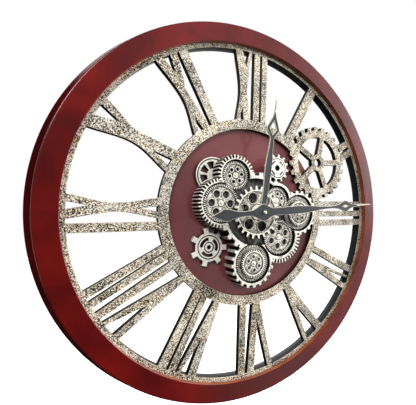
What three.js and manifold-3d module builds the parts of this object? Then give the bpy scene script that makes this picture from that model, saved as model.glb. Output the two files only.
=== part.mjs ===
// Skeleton wall clock, 762 mm across: a turned wooden rim, a cut-out numeral casting, a round
// back disc carrying a tub of meshed gears, two hands, a quartz movement and a gear drive.
// Millimetres. Origin at the dial centre on the wall plane; +X right and +Z up seen from the
// front; the dial faces -Y. Pieces that touch are drawn 0.3 mm apart.
import * as THREE from 'three';
import { mergeVertices } from 'three/addons/utils/BufferGeometryUtils.js';
import Module from 'manifold-3d';

const wasm = await Module();
wasm.setup();
const { Manifold, Mesh } = wasm;

// ---------------------------------------------------------------- driving dimensions
const GAP = 0.3;                       // between pieces that touch
const RIM_R = 381;                     // wooden rim, outside radius where it meets the wall
const RIM_FACE_R = 371;                // outer edge of its front face: the side slopes between
const RIM_DEPTH = 40;                  // wall plane to front face
const RIM_LIP_R = 336.5;               // opening at the front of the rim
const RABBET_R = 353;                  // step in the back of the rim that holds the casting
const RIM_ROUND = 3;                   // rounding of the rim's outer front edge
const RING_IN = 329;                   // black ring that holds the casting in the rim
const RING_REAR = -5.7;
const RING_SCREW_R = 341;
const DISC_SCREW_R = 181;
const CAST_FRONT = -29;                // front plane of the numeral casting
const CAST_BACK = -17;
const CAST_R = RABBET_R - 0.5;
const BAND_R = 328.5;                  // inner edge of the outer band
const HUB_RING_OUT = 189.5;            // ring round the disc
const HUB_RING_IN = 170;
const DISC_R = 179.7;
const DISC_FRONT = -20;
const DISC_BACK = -16;
const SEGS = 96;                       // facets of the large circles

const TUB_FRONT = -52;                 // front edge of the gear tub
const TUB_BACK = DISC_FRONT - GAP;
const FLOOR_FRONT = -40;
const FLOOR_BACK = -37;
const PLATE_FRONT = -41.8;             // grey sheet on the tub floor
const WHEEL_BACK = -43;                // rear layer of gears
const WHEEL_FRONT = -48;
const FRONT_BACK = -48.3;              // front layer of gears
const FRONT_FRONT = -54;

const PITCH = 4;                       // tooth pitch of the meshed train, along the pitch circle
const ADD = 0.65;                      // tooth height outside the pitch circle
const DED = 3.1;                       // tooth depth inside it
const POST_R = 2.5;
const IDLER_R = 1.5;                   // post of the small idler
const DRIVE_TIP = -48.7;               // front end of the drive shaft
const RUN = 0.1;                       // radial running clearance
const BUSH_ROOM = 0.5;                 // round the bush in the disc and the tub
const DRIVE_ROOM = 0.7;                // round the drive shaft in the disc, the tub and its box
const BEYOND = -60;                    // a depth in front of every gear, for cuts right through
const LEDGE = -43.5;                   // front of the step under the slotted gear

const HOUR_FRONT = -74;
const HOUR_BACK = -71;
const MINUTE_FRONT = -80;
const MINUTE_BACK = -77;
const SHAFT_R = 1.8;                   // minute shaft
const TUBE_R = 3.8;                    // hour tube, outside
const BUSH_R = 5;                      // threaded bush, outside
const MOTION_ANGLE = 120;              // direction of the motion arbor from the centre
const MINUTE_ANGLE = 3.5;              // degrees above horizontal, pointing right
const HOUR_ANGLE = 81.5;               // degrees above horizontal, just past twelve

const CASE_FRONT = DISC_BACK + GAP;    // boxes behind the disc
const CASE_BACK = -1.8;
const LID_FRONT = -1.5;
const WALL = 1.5;

const rad = (deg) => (deg * Math.PI) / 180;
const group = new THREE.Group();

// ---------------------------------------------------------------- materials
const material = (color, metalness, roughness) => new THREE.MeshStandardMaterial({
  color,
  metalness,
  roughness,
});
const WOOD = material(0x6b1512, 0.0, 0.35);
const CAST = material(0xc8b996, 0.2, 0.75);
const DISC = material(0x7d4648, 0.0, 0.45);
const SILVER = material(0xd6cdb8, 0.6, 0.45);
const SLATE = material(0x4a4e55, 0.3, 0.6);
const HAND = material(0x474a52, 0.3, 0.5);
const BRASS = material(0xb89a55, 0.9, 0.35);
const STEEL = material(0x9a9da0, 1.0, 0.35);
const BLACK = material(0x18181a, 0.0, 0.6);
const CELL = material(0x2f5d8a, 0.3, 0.4);
const CREAM = material(0xe4ddc8, 0.0, 0.5);

// ---------------------------------------------------------------- shapes seen from the front
const point = (x, z) => new THREE.Vector2(x, z);
const polygon = (pairs) => new THREE.Shape(pairs.map(([x, z]) => point(x, z)));

function circle(r, n = 32, x = 0, z = 0, phase = 0) {
  const pairs = [];
  for (let i = 0; i < n; i += 1) {
    const a = phase + (2 * Math.PI * i) / n;
    pairs.push([x + r * Math.cos(a), z + r * Math.sin(a)]);
  }
  return pairs;
}

function cut(shape, pairs) {
  shape.holes.push(new THREE.Path(pairs.map(([x, z]) => point(x, z))));
  return shape;
}

// A flat piece between two depths: the shape's second axis becomes +Z.
function slab(shape, back, front) {
  const solid = new THREE.ExtrudeGeometry(shape, { depth: back - front, bevelEnabled: false });
  solid.rotateX(Math.PI / 2);
  solid.translate(0, back, 0);
  return solid;
}

// A turned piece on an axis along Y, from a profile of [radius, y] listed either way round.
function turned(profile, x = 0, z = 0, n = 24) {
  const points = profile.map(([r, y]) => point(r, y));
  if (THREE.ShapeUtils.area(points) < 0) points.reverse();
  const solid = new THREE.LatheGeometry(points, n);
  solid.translate(x, 0, z);
  return solid;
}

const rod = (r, back, front, x = 0, z = 0, n = 12) => slab(polygon(circle(r, n, x, z)), back, front);

function pipe(rOut, rIn, back, front, x = 0, z = 0, n = 24) {
  return slab(cut(polygon(circle(rOut, n, x, z)), circle(rIn, n, x, z)), back, front);
}

function box(x0, x1, back, front, z0, z1) {
  return slab(polygon([[x0, z0], [x1, z0], [x1, z1], [x0, z1]]), back, front);
}

// ---------------------------------------------------------------- booleans
function solidOf(geometry) {
  const bare = geometry.clone();
  bare.deleteAttribute('normal');
  bare.deleteAttribute('uv');
  const merged = mergeVertices(bare, 1e-4);
  return new Manifold(new Mesh({
    numProp: 3,
    vertProperties: new Float32Array(merged.attributes.position.array),
    triVerts: new Uint32Array(merged.index.array),
  }));
}

function geometryOf(solid) {
  const mesh = solid.getMesh();
  const out = new THREE.BufferGeometry();
  out.setAttribute('position', new THREE.BufferAttribute(mesh.vertProperties.slice(), 3));
  out.setIndex(new THREE.BufferAttribute(mesh.triVerts.slice(), 1));
  const flat = out.toNonIndexed();
  flat.computeVertexNormals();
  return flat;
}

const union = (list) => Manifold.union(list.map((g) => (g instanceof Manifold ? g : solidOf(g))));

function add(name, geometry, mat) {
  const body = geometry instanceof Manifold ? geometryOf(geometry) : geometry;
  const mesh = new THREE.Mesh(body, mat);
  mesh.name = name;
  group.add(mesh);
  return mesh;
}

// ---------------------------------------------------------------- gears
const pitchRadius = (teeth) => (teeth * PITCH) / (2 * Math.PI);

// Pointed teeth: one tip and one root per tooth, a tip at angle `phase`.
function pointedTeeth(teeth, tip, root, x, z, phase) {
  const pairs = [];
  for (let i = 0; i < 2 * teeth; i += 1) {
    const a = phase + (Math.PI * i) / teeth;
    const r = i % 2 ? root : tip;
    pairs.push([x + r * Math.cos(a), z + r * Math.sin(a)]);
  }
  return pairs;
}

// Square-topped teeth: `land` is the share of the pitch that the tooth fills at its tip.
function squareTeeth(teeth, tip, root, x, z, phase, land, foot) {
  const pairs = [];
  const step = (2 * Math.PI) / teeth;
  for (let i = 0; i < teeth; i += 1) {
    const a = phase + i * step;
    for (const [r, share] of [[root, -foot], [tip, -land], [tip, land], [root, foot]]) {
      const b = a + share * step;
      pairs.push([x + r * Math.cos(b), z + r * Math.sin(b)]);
    }
  }
  return pairs;
}

function holesRound(shape, gear, count, ring, r, n, phase = 0) {
  for (let i = 0; i < count; i += 1) {
    const a = phase + (2 * Math.PI * i) / count;
    cut(shape, circle(r, n, gear.x + ring * Math.cos(a), gear.z + ring * Math.sin(a)));
  }
  return shape;
}

// The train. Each wheel after the first stands at its meshing distance from `on`, in direction
// `toward`, with its teeth set into the gaps of the wheel it meshes with.
const train = {
  centre: { teeth: 46, x: 0, z: 0, phase: 0 },
};
function meshWith(name, on, toward, teeth) {
  const first = train[on];
  const dir = rad(toward);
  const reach = pitchRadius(first.teeth) + pitchRadius(teeth);
  train[name] = {
    teeth,
    x: first.x + reach * Math.cos(dir),
    z: first.z + reach * Math.sin(dir),
    phase: dir + Math.PI - ((first.phase - dir) * first.teeth) / teeth - Math.PI / teeth,
  };
}
meshWith('g', 'centre', 26.2, 42);
meshWith('f', 'g', -25.1, 56);
meshWith('d', 'f', 224.4, 56);
meshWith('idler', 'centre', 167.1, 11);
meshWith('b', 'idler', 167.1, 56);
meshWith('a', 'b', 60.6, 42);
meshWith('drive', 'centre', 265.1, 29);
meshWith('e', 'drive', 265.1, 56);

function trainOutline(wheel) {
  const r = pitchRadius(wheel.teeth);
  return polygon(pointedTeeth(wheel.teeth, r + ADD, r - DED, wheel.x, wheel.z, wheel.phase));
}

// ---------------------------------------------------------------- wooden rim and its fittings
const HANGER_Z = 366;
const LIP_CHAMFER = 1;
const sideSlope = (RIM_R - RIM_FACE_R) / RIM_DEPTH;
const sideAt = (below) => [RIM_FACE_R + sideSlope * below, -RIM_DEPTH + below];
const rimProfile = [
  [RABBET_R, 0],
  [RABBET_R, CAST_FRONT - GAP],
  [RIM_LIP_R, CAST_FRONT - GAP],
  [RIM_LIP_R, -RIM_DEPTH + LIP_CHAMFER],
  [RIM_LIP_R + LIP_CHAMFER, -RIM_DEPTH],
  [RIM_FACE_R - RIM_ROUND, -RIM_DEPTH],
  [RIM_FACE_R - RIM_ROUND * 0.25, -RIM_DEPTH + RIM_ROUND * 0.3],
  sideAt(RIM_ROUND),
  sideAt(RIM_DEPTH),
  [RABBET_R, 0],
];
const rim = solidOf(turned(rimProfile, 0, 0, SEGS));
const hangerPocket = box(-22.4, 22.4, 1, -2.9, HANGER_Z - 8.4, HANGER_Z + 8.4);
const screwHeadRoom = box(-7, 7, 1, -11, HANGER_Z - 7.4, HANGER_Z + 6.4);
add('frame_ring', rim.subtract(union([hangerPocket, screwHeadRoom])), WOOD);

const keyhole = union([
  rod(4.8, 1, -5, 0, HANGER_Z - 2.6, 16),
  box(-2.6, 2.6, 1, -5, HANGER_Z - 1, HANGER_Z + 5),
]);
const hangerPlate = solidOf(box(-22, 22, -1.3, -2.6, HANGER_Z - 8, HANGER_Z + 8));
add('hanger_plate', hangerPlate.subtract(keyhole), STEEL);
for (const [side, x] of [['left', 16], ['right', -16]]) {
  const head = turned([[0, -0.1], [2.2, -0.1], [3.2, -1], [0, -1]], x, HANGER_Z, 10);
  add(`hanger_screw_${side}`, head, BRASS);
}

add('retaining_ring', pipe(CAST_R, RING_IN, RING_REAR, CAST_BACK + GAP, 0, 0, SEGS), BLACK);

const panHead = (y, x, z) => turned(
  [[0, y + 2], [2.4, y + 2], [3.8, y], [0, y]], x, z, 10);
for (let i = 0; i < 4; i += 1) {
  const a = rad(45 + 90 * i);
  const [x, z] = [RING_SCREW_R * Math.cos(a), RING_SCREW_R * Math.sin(a)];
  add(`ring_screw_${i + 1}`, panHead(RING_REAR + GAP, x, z), BRASS);
}

// ---------------------------------------------------------------- numeral casting
// Every stroke is drawn in place, running a little way into both rings.
const strokes = [
  // XII
  [[-36, 334], [-25, 250], [-35, 180], [-2, 182], [-9, 240], [-8, 262], [4, 334]],
  [[9, 334], [22.5, 334], [18, 182], [4, 182]],
  [[28, 334], [41, 334], [35.5, 180], [22.5, 180]],
  // I
  [[84, 161], [155, 284], [160, 292], [184, 288], [176, 276], [106, 156]],
  // the two short bars that carry the openwork gear at two
  [[250, 162.8], [290, 185.9], [297.3, 171.8], [258, 149.1]],
  [[255, 139.7], [299, 165.1], [305.5, 150], [264, 126]],
  // III
  [[183, 12], [334, 12], [334, 26], [183, 26]],
  [[183, -11], [334, -11], [334, 3], [183, 3]],
  [[181, -33], [332, -33], [332, -19], [181, -19]],
  // IV
  [[160, -72], [302, -141], [296, -158], [160, -88]],
  [[154, -104], [270, -156], [303, -170], [284, -178], [274, -197], [141, -112]],
  // V
  [[82, -160], [146, -305], [158, -302], [180, -278], [198, -270], [183, -255], [100, -160]],
  // VI
  [[-26, -183], [-31, -334], [-16, -334], [-11, -183]],
  [[4, -183], [-10, -334], [54, -331], [39, -270], [20, -183]],
  // VII
  [[-119, -140], [-194, -275], [-180, -284], [-107, -150]],
  [[-105, -151], [-176, -288], [-163, -293], [-97, -162]],
  [[-79, -166], [-160, -294], [-140, -305], [-122, -310], [-69, -172]],
  // VIII
  [[-179, -56], [-309, -125], [-303, -137], [-173, -66]],
  [[-171, -67], [-301, -143], [-296, -153], [-166, -80]],
  [[-161, -84], [-293, -163], [-287, -174], [-155, -98]],
  [[-145, -114], [-283, -179], [-276, -196], [-259, -213], [-135, -121]],
  // IX
  [[-334, -31], [-183, -31], [-183, -16], [-334, -16]],
  [[-334, -10], [-262, 2], [-240, 1], [-183, -11], [-183, 27], [-260, 17], [-334, 32]],
  // X
  [[-303, 137], [-228, 117.5], [-170, 68], [-160, 90], [-152, 111], [-200, 130], [-228, 142],
    [-246, 160], [-272, 188], [-290, 168]],
  // XI
  [[-199, 272], [-143, 207], [-121, 142], [-96, 160], [-95, 168], [-105, 182], [-123, 206],
    [-140, 228], [-142, 242], [-158, 298], [-182, 286]],
  [[-156, 298], [-86, 164], [-71, 169], [-139, 305]],
];
const counters = [
  // XII
  [[-19, 328.6], [-4, 328.6], [-12, 296]],
  [[-20, 214], [-27, 188], [-18, 188]],
  // IV, V, VI
  [[217, -140.5], [284, -168.4], [279.5, -178], [268, -178]],
  [[118, -210], [151.5, -291], [178, -276]],
  [[15.5, -226], [7, -328.4], [40, -326]],
  // VII, VIII
  [[-109.5, -238], [-150, -291.5], [-136, -298.5]],
  [[-206, -158.5], [-274, -182], [-261, -199]],
  // IX
  [[-327.5, 19], [-327.5, 6.5], [-297, 12]],
  [[-217, 8], [-189, 11], [-189, 1.5]],
  // X
  [[-278.5, 174], [-289.5, 156], [-251, 150]],
  [[-197, 108], [-164, 95], [-171, 83.5]],
  // XI
  [[-181, 273.5], [-168, 281.5], [-157, 251]],
  [[-122, 178], [-114, 151.5], [-104.5, 157.5]],
];

const openGear = { x: 184, z: 116, teeth: 24, tip: 84.5, root: 76, rimIn: 60, hub: 20, bore: 9.5 };
function openGearShape() {
  const { x, z, teeth, tip, root, rimIn, hub, bore } = openGear;
  const shape = polygon(squareTeeth(teeth, tip, root, x, z, rad(4.5), 0.2, 0.31));
  const spokeHalf = 6.5;
  for (let i = 0; i < 5; i += 1) {
    const window = [];
    const from = rad(5 + 72 * i);
    const to = from + rad(72);
    const outer = Math.asin(spokeHalf / rimIn);
    const inner = Math.asin(spokeHalf / hub);
    for (let k = 0; k <= 6; k += 1) {
      const a = from + outer + ((to - from - 2 * outer) * k) / 6;
      window.push([x + rimIn * Math.cos(a), z + rimIn * Math.sin(a)]);
    }
    for (let k = 2; k >= 0; k -= 1) {
      const a = from + inner + ((to - from - 2 * inner) * k) / 2;
      window.push([x + hub * Math.cos(a), z + hub * Math.sin(a)]);
    }
    cut(shape, window);
  }
  return cut(shape, circle(bore, 14, x, z));
}
const castSlab = (pairs) => slab(polygon(pairs), CAST_BACK, CAST_FRONT);
const through = (pairs) => slab(polygon(pairs), CAST_BACK + 5, CAST_FRONT - 5);
const hubRing = solidOf(pipe(HUB_RING_OUT, HUB_RING_IN, CAST_BACK, CAST_FRONT, 0, 0, SEGS))
  .subtract(solidOf(through(circle(openGear.rimIn, 32, openGear.x, openGear.z))));
const openGearRoom = solidOf(through(circle(openGear.root - 4, 32, openGear.x, openGear.z)));
const bars = union(strokes.map(castSlab)).subtract(openGearRoom);
const castBand = pipe(CAST_R, BAND_R, CAST_BACK, CAST_FRONT, 0, 0, SEGS);
const castWithGear = union([
  castBand,
  hubRing,
  bars,
  slab(openGearShape(), CAST_BACK, CAST_FRONT),
]);
const discSeat = rod(DISC_R + GAP, CAST_BACK + 5, DISC_FRONT - GAP, 0, 0, SEGS);
const numeralCasting = castWithGear
  .subtract(union(counters.map(through)))
  .subtract(solidOf(discSeat));
add('dial_casting', numeralCasting, CAST);

// ---------------------------------------------------------------- disc
const drive = train.drive;
const discShape = polygon(circle(DISC_R, SEGS));
cut(discShape, circle(BUSH_R + BUSH_ROOM, 16));
cut(discShape, circle(POST_R + DRIVE_ROOM, 12, drive.x, drive.z));
add('dial_disc', slab(discShape, DISC_BACK, DISC_FRONT), DISC);
for (let i = 0; i < 3; i += 1) {
  const a = rad(90 + 120 * i);
  const [x, z] = [DISC_SCREW_R * Math.cos(a), DISC_SCREW_R * Math.sin(a)];
  add(`disc_screw_${i + 1}`, panHead(DISC_BACK + GAP, x, z), STEEL);
}

// ---------------------------------------------------------------- fixed ornament gears, where
// Fronts stand at `front`; each groove is [outer radius, inner radius], GROOVE deep.
const GROOVE = 1.4;
const seven = {
  x: -93, z: -66.5, front: -28, tip: 37, root: 28, bore: 4, slots: [12.6, 18.5],
  grooves: [[22.8, 21.4], [9.6, 8.2]],
};
const spoked = { x: -84, z: 71, front: -28.5, r: 35.6, windows: [13.5, 24], grooves: [[32.6, 31]] };
const slotted = {
  x: 49.9, z: 92.1, front: TUB_FRONT, tip: 28.7, root: 22.8, bore: 6, grooves: [[20.2, 18.9]],
};
const groovesOf = ({ x, z, front, grooves }) => union(
  grooves.map(([rOut, rIn]) => pipe(rOut, rIn, front + GROOVE, front - 2, x, z, 24)));

// ---------------------------------------------------------------- gear tub
// One merged outline of toothed discs, one round each wheel, with a pocket cut into its front.
const lobes = [
  { at: 'a', pocket: 30.3, root: 33, tip: 39.6, teeth: 32, phase: 0.1 },
  { at: 'b', pocket: 38.8, root: 41.6, tip: 47.4, teeth: 42, phase: 0 },
  { at: 'centre', pocket: 68, root: 74, tip: 81, teeth: 24, phase: 0.13 },
  { at: 'd', pocket: 41, root: 46.5, tip: 55, teeth: 44, phase: 0 },
  { at: 'e', pocket: 39.6, root: 44, tip: 48.8, teeth: 20, phase: 0.05 },
  { at: 'f', pocket: 39.6, root: 43.8, tip: 48.2, teeth: 20, phase: 0.1 },
];
const SMOOTH = { at: 'g', pocket: 31, root: 36.5 };
const LOBE_LAND = 0.19;
const LOBE_FOOT = 0.27;
function outline(back, front) {
  const list = lobes.map(({ at, teeth, tip, root, phase }) => {
    const { x, z } = train[at];
    return slab(polygon(squareTeeth(teeth, tip, root, x, z, phase, LOBE_LAND, LOBE_FOOT)), back, front);
  });
  const { x, z } = train[SMOOTH.at];
  list.push(rod(SMOOTH.root, back, front, x, z, 28));
  return union(list);
}
function rounds(key, shrink, back, front, n) {
  const all = [...lobes, SMOOTH];
  return union(all.map((lobe) => {
    const { x, z } = train[lobe.at];
    return rod(lobe[key] - shrink, back, front, x, z, n);
  }));
}
const TAB = { x0: 36, x1: 60, z0: 52, z1: 86 };
const tab = box(TAB.x0, TAB.x1, TUB_BACK, LEDGE, TAB.z0, TAB.z1);
const tubHoles = union([
  rod(BUSH_R + BUSH_ROOM, 0, BEYOND, 0, 0, 16),
  rod(POST_R + DRIVE_ROOM, 0, BEYOND, drive.x, drive.z),
]);
const SEAT_R = 11;                      // round pad under the slotted gear's hub
const seat = rod(SEAT_R, TUB_BACK, LEDGE, slotted.x, slotted.z, 16);
const tub = union([outline(TUB_BACK, TUB_FRONT), tab, seat])
  .subtract(rounds('pocket', 0, FLOOR_FRONT, TUB_FRONT - 1, 28))
  .subtract(rounds('pocket', 2.5, TUB_BACK + 1, FLOOR_BACK, 14))
  .subtract(tubHoles);
add('gear_tub', tub, SILVER);
const plate = rounds('pocket', 1, FLOOR_FRONT - GAP, PLATE_FRONT, 28).subtract(tubHoles);
add('train_plate', plate, SLATE);

// ---------------------------------------------------------------- fixed ornament gears
const tubRoom = union([...lobes, { ...SMOOTH, tip: SMOOTH.root }].map((lobe) => {
  const { x, z } = train[lobe.at];
  return rod(lobe.tip + 0.5, 0, BEYOND, x, z, 48);
}));
function addFixed(name, gear, shape, back) {
  const whole = solidOf(slab(shape, back, gear.front));
  add(name, whole.subtract(groovesOf(gear)).subtract(tubRoom), SILVER);
}

// Three curved slots round a hub.
function sevenTooth() {
  const { x, z, tip, root, bore, slots } = seven;
  const shape = polygon(squareTeeth(7, tip, root, x, z, rad(-3), 0.16, 0.2));
  const sweep = rad(84);
  for (let i = 0; i < 3; i += 1) {
    const slot = [];
    const from = rad(93 + 120 * i);
    for (let k = 0; k <= 5; k += 1) {
      const a = from + (sweep * k) / 5;
      slot.push([x + slots[1] * Math.cos(a), z + slots[1] * Math.sin(a)]);
    }
    for (let k = 4; k >= 0; k -= 1) {
      const a = from + (sweep * k) / 4;
      slot.push([x + slots[0] * Math.cos(a), z + slots[0] * Math.sin(a)]);
    }
    cut(shape, slot);
  }
  return cut(shape, circle(bore, 10, x, z));
}
addFixed('seven_tooth_gear', seven, sevenTooth(), TUB_BACK);

// Eight windows, each wider towards the rim: half angles in degrees.
function spokedWheel() {
  const { x, z, r, windows: [near, far] } = spoked;
  const shape = polygon(circle(r, 36, x, z));
  for (let i = 0; i < 8; i += 1) {
    const window = [];
    const mid = rad(14 + 45 * i);
    for (const [out, half] of [[near, 12], [far, 15.5], [far, 0], [far, -15.5], [near, -12]]) {
      const a = mid + rad(half);
      window.push([x + out * Math.cos(a), z + out * Math.sin(a)]);
    }
    cut(shape, window.reverse());
  }
  return shape;
}
addFixed('spoked_wheel', spoked, spokedWheel(), TUB_BACK);

// Four short slots across the diagonals: [distance from the hub, along the slot].
const SLOT = [[12.9, -6], [16.1, -5], [16.1, 5], [12.9, 6]];
function slottedGear() {
  const { x, z, tip, root, bore } = slotted;
  const shape = polygon(squareTeeth(12, tip, root, x, z, rad(-8), 0.14, 0.2));
  for (let i = 0; i < 4; i += 1) {
    const [cos, sin] = [Math.cos(rad(45 + 90 * i)), Math.sin(rad(45 + 90 * i))];
    cut(shape, SLOT.map(([u, v]) => [x + u * cos - v * sin, z + u * sin + v * cos]));
  }
  return cut(shape, circle(bore, 12, x, z));
}
addFixed('slotted_gear', slotted, slottedGear(), LEDGE - GAP);

// ---------------------------------------------------------------- running gears
function smallWheel(wheel, ring, r, phase, post) {
  const shape = trainOutline(wheel);
  holesRound(shape, wheel, 6, ring, r, 8, phase);
  return cut(shape, circle(post + RUN, 12, wheel.x, wheel.z));
}
function addWheel(name, wheel, shape, back = WHEEL_BACK, front = WHEEL_FRONT) {
  add(name, slab(shape, back, front), SILVER);
}
addWheel('gear_a', train.a, smallWheel(train.a, 13.2, 3.8, rad(10), POST_R));
addWheel('gear_b', train.b, smallWheel(train.b, 19.4, 7.4, rad(-2), POST_R));
addWheel('gear_d', train.d, smallWheel(train.d, 19.4, 6.7, rad(23), POST_R));
addWheel('gear_g', train.g, smallWheel(train.g, 13.8, 3.8, rad(18), POST_R));
for (const key of ['e', 'f']) {
  const wheel = train[key];
  addWheel(`gear_${key}`, wheel, cut(trainOutline(wheel), circle(POST_R + RUN, 12, wheel.x, wheel.z)));
  const cap = polygon(pointedTeeth(42, 28.4, 24.6, wheel.x, wheel.z, 0));
  holesRound(cap, wheel, 6, 13.4, 3.8, 8, key === 'e' ? rad(35) : rad(10));
  cut(cap, circle(POST_R + RUN, 12, wheel.x, wheel.z));
  addWheel(`gear_${key}_front`, wheel, cap, FRONT_BACK, FRONT_FRONT);
}
const bigShape = polygon(squareTeeth(24, 53.2, 45.6, 0, 0, rad(3), 0.13, 0.24));
holesRound(bigShape, { x: 0, z: 0 }, 6, 30, 11, 12, rad(50));
cut(bigShape, circle(BUSH_R + RUN, 16));
addWheel('gear_c', null, bigShape, -49, FRONT_FRONT);
const centreBore = solidOf(rod(BUSH_R + RUN, 0, BEYOND, 0, 0, 16));
const centreWheel = union([
  slab(trainOutline(train.centre), WHEEL_BACK, WHEEL_FRONT),
  rod(12, WHEEL_BACK, -48.7, 0, 0, 16),
]);
add('centre_wheel', centreWheel.subtract(centreBore), SILVER);

addWheel('idler_pinion', train.idler,
  cut(trainOutline(train.idler), circle(IDLER_R + RUN, 12, train.idler.x, train.idler.z)));
add('drive_pinion', slab(
  cut(trainOutline(drive), circle(POST_R + GAP, 12, drive.x, drive.z)),
  WHEEL_BACK, WHEEL_FRONT), SILVER);
add('drive_shaft', rod(POST_R, -15.4, DRIVE_TIP, drive.x, drive.z), STEEL);

const postBack = PLATE_FRONT - GAP;
for (const [key, front] of [['a', -49.4], ['b', -49.4], ['d', -49.4], ['g', -48.6], ['e', -55.4],
  ['f', -55.4]]) {
  add(`post_${key}`, rod(POST_R, postBack, front, train[key].x, train[key].z), BRASS);
}
add('post_idler', rod(IDLER_R, postBack, -48.6, train.idler.x, train.idler.z), BRASS);

// ---------------------------------------------------------------- quartz movement
const MOVE = { x: 28, zLow: -30, zHigh: 28, zBay: -13.6 };
const BAY_WALL = 1.2;
const FACE = 1.2;                       // front wall of both boxes
const moveCase = solidOf(box(-MOVE.x, MOVE.x, CASE_BACK, CASE_FRONT, MOVE.zLow, MOVE.zHigh))
  .subtract(union([
    box(-MOVE.x + WALL, MOVE.x - WALL, 1, CASE_FRONT + FACE, MOVE.zBay + BAY_WALL, MOVE.zHigh - WALL),
    box(-MOVE.x + WALL, MOVE.x - WALL, 1, CASE_FRONT + FACE, MOVE.zLow + WALL, MOVE.zBay),
  ])).subtract(solidOf(rod(TUBE_R + BUSH_ROOM, 1, -30, 0, 0, 12)));
add('movement_case', moveCase, BLACK);

// Motion work: 12 leaves drive 36 teeth, 10 leaves drive 40, so the hour tube turns at 1/12.
const MOTION_ADD = 0.35;
const MOTION_DED = 0.85;
const CANNON_PITCH = 1.9;
const CANNON = 12;
const INTER = 36;
const HOUR_WHEEL = 40;
const HOUR_LEAVES = 10;
const reach = ((CANNON + INTER) * CANNON_PITCH) / (2 * Math.PI);
const HOUR_PITCH = (reach * 2 * Math.PI) / (HOUR_WHEEL + HOUR_LEAVES);
const towardArbor = rad(MOTION_ANGLE);
const motionAt = { x: reach * Math.cos(towardArbor), z: reach * Math.sin(towardArbor) };
function motionOutline(teeth, pitch, x, z, phase) {
  const r = (teeth * pitch) / (2 * Math.PI);
  return polygon(pointedTeeth(teeth, r + MOTION_ADD, r - MOTION_DED, x, z, phase));
}
const ARBOR_R = 1;
function intoGap(first, second) {
  return towardArbor + Math.PI + (towardArbor * first) / second - Math.PI / second;
}
const interPhase = intoGap(CANNON, INTER);
const leavesPhase = intoGap(HOUR_WHEEL, HOUR_LEAVES);
add('motion_wheel', slab(
  cut(motionOutline(INTER, CANNON_PITCH, motionAt.x, motionAt.z, interPhase),
    circle(ARBOR_R + GAP, 12, motionAt.x, motionAt.z)), -9.2, -11.2), CREAM);
add('motion_pinion', union([
  slab(motionOutline(HOUR_LEAVES, HOUR_PITCH, motionAt.x, motionAt.z, leavesPhase), -12.2, -14.2),
  rod(ARBOR_R, -2.8, -14.2, motionAt.x, motionAt.z, 12),
]), STEEL);
const knob = polygon(pointedTeeth(14, 6.4, 5.9, motionAt.x, motionAt.z, 0));
add('setting_knob', slab(knob, -0.1, -2.5), BLACK);

const bush = pipe(BUSH_R, TUBE_R + RUN, CASE_FRONT - GAP, -57.6, 0, 0, 16);
add('threaded_bush', bush, BRASS);
add('bush_nut', slab(cut(polygon(circle(9, 6, 0, 0, rad(12))), circle(BUSH_R + GAP, 16)),
  -54.4, -57), BRASS);
const tubeBore = solidOf(rod(SHAFT_R + RUN, 0, -80, 0, 0, 12));
add('hour_tube', union([
  rod(TUBE_R, -12.2, HOUR_BACK + GAP, 0, 0, 16),
  slab(motionOutline(HOUR_WHEEL, HOUR_PITCH, 0, 0, 0), -12.4, -14.1),
]).subtract(tubeBore), BRASS);
add('minute_shaft', union([
  rod(SHAFT_R, -3.2, MINUTE_FRONT - 1.6, 0, 0, 12),
  slab(motionOutline(CANNON, CANNON_PITCH, 0, 0, 0), -9, -11.4),
]), STEEL);

// The winding lies along X in the upper right of the case.
const coil = pipe(4.6, 1.4, 9, -9, 0, 0, 12);
coil.rotateZ(Math.PI / 2);
coil.translate(17, -8, 19);
add('movement_coil', coil, BRASS);

const lidShape = polygon([[-MOVE.x, MOVE.zBay], [MOVE.x, MOVE.zBay], [MOVE.x, MOVE.zHigh],
  [-MOVE.x, MOVE.zHigh]]);
cut(lidShape, circle(6.9, 16, motionAt.x, motionAt.z));
add('movement_lid', slab(lidShape, 0, LID_FRONT), BLACK);

// A cell lies along X: can, then the small contact cap at +X.
function cell(r, length, x, y, z) {
  const profile = [[0, 0], [r - 0.8, 0], [r, 0.8], [r, length - 2],
    [r * 0.37, length - 2], [r * 0.37, length], [0, length]];
  const body = new THREE.LatheGeometry(profile.map(([a, b]) => point(a, b)), 14);
  body.rotateZ(-Math.PI / 2);
  body.translate(x - length / 2, y, z);
  return body;
}
const AA = { r: 7, length: 50 };
add('movement_battery', cell(AA.r, AA.length, 0, -7.15, -21.05), CELL);

// ---------------------------------------------------------------- gear drive box
const BOX = { x0: -38, x1: 30, zLow: -112, zHigh: -31.8, zSplit: -68 };
const driveCase = solidOf(box(BOX.x0, BOX.x1, CASE_BACK, CASE_FRONT, BOX.zLow, BOX.zHigh))
  .subtract(union([
    box(BOX.x0 + WALL, BOX.x1 - WALL, 1, CASE_FRONT + FACE, BOX.zSplit + BAY_WALL, BOX.zHigh - WALL),
    box(BOX.x0 + WALL, BOX.x1 - WALL, 1, CASE_FRONT + FACE, BOX.zLow + WALL, BOX.zSplit),
  ])).subtract(solidOf(rod(POST_R + DRIVE_ROOM, 1, -30, drive.x, drive.z)));
add('drive_case', driveCase, BLACK);
const MOTOR_R = 13.2;
const motorBack = -3;
add('drive_motor', solidOf(turned([[0, motorBack], [MOTOR_R - 1, motorBack], [MOTOR_R, motorBack - 1],
  [MOTOR_R, -14.2], [0, -14.2]], drive.x, drive.z, 18))
  .subtract(solidOf(rod(POST_R + RUN, -13, -20, drive.x, drive.z))), STEEL);
const SWITCH = { x: 18, z: -44 };
const driveLid = box(BOX.x0, BOX.x1, 0, LID_FRONT, BOX.zSplit + 0.15, BOX.zHigh);
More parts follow.
